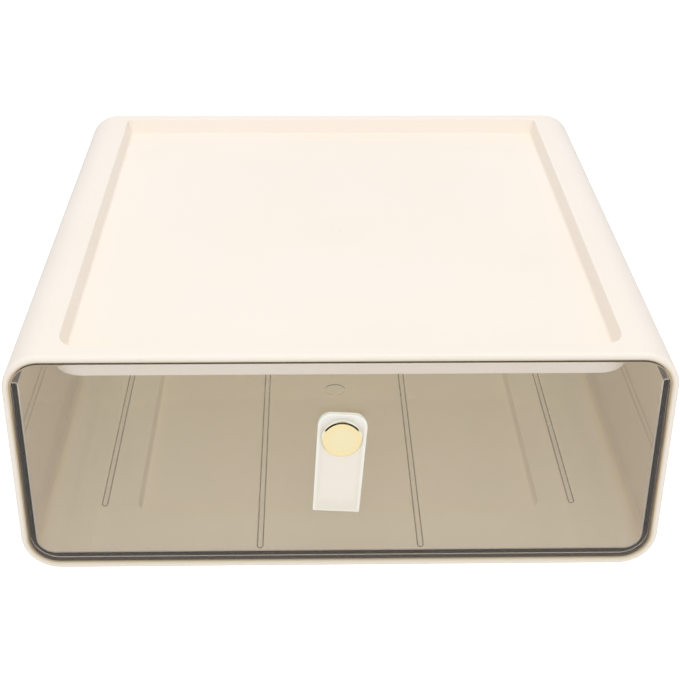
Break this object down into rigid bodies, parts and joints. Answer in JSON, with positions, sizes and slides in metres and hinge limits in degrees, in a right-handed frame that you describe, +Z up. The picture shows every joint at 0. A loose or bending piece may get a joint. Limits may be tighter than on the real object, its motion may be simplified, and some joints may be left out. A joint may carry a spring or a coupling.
{
  "type": "stackable drawer box",
  "caption": "Low stackable drawer box: a moulded open-front case with a recessed top, a clear sliding drawer tray and a folded strap pull held by a gilt button.",
  "frame": {"origin": "centre of the box's footprint, pull included, on the surface that the feet stand on", "axes": "+X to the right as the drawer faces you, -Y towards the drawer's front, +Z up"},
  "size_m": [0.261, 0.2682, 0.1058],
  "materials": {
    "case_plastic": "fine satin moulded surface, warm cream",
    "tray_plastic": "clear, lightly smoked, polished",
    "strap_leather": "cream coated leather, fine grain",
    "button_gilt": "light gold plate, polished",
    "screw_steel": "zinc plated",
    "washer_plastic": "natural nylon",
    "foot_rubber": "soft translucent grey"
  },
  "bodies": {
    "case": {"case_shell": "case_plastic", "foot_front_left": "foot_rubber", "foot_front_right": "foot_rubber", "foot_back_left": "foot_rubber", "foot_back_right": "foot_rubber"},
    "drawer": {"drawer_tray": "tray_plastic", "pull_button": "button_gilt", "pull_screw": "screw_steel", "screw_washer": "washer_plastic"},
    "strap_head": {"strap_head": "strap_leather"},
    "strap_loop": {"strap_loop": "strap_leather"}
  },
  "joints": [
    {"name": "drawer_slide", "type": "slide", "parent": "case", "child": "drawer", "axis": [0, -1, 0], "range_m": [0, 0.2]},
    {"name": "strap_swivel", "type": "hinge", "parent": "drawer", "child": "strap_head", "pos_m": [0, -0.1299, 0.07065], "axis": [0, 1, 0], "range_deg": [-33.5, 26.5]},
    {"name": "strap_lift", "type": "hinge", "parent": "strap_head", "child": "strap_loop", "pos_m": [-0.00064, -0.1299, 0.06027], "axis": [-0.9981, 0, 0.061], "range_deg": [0, 90]}
  ]
}
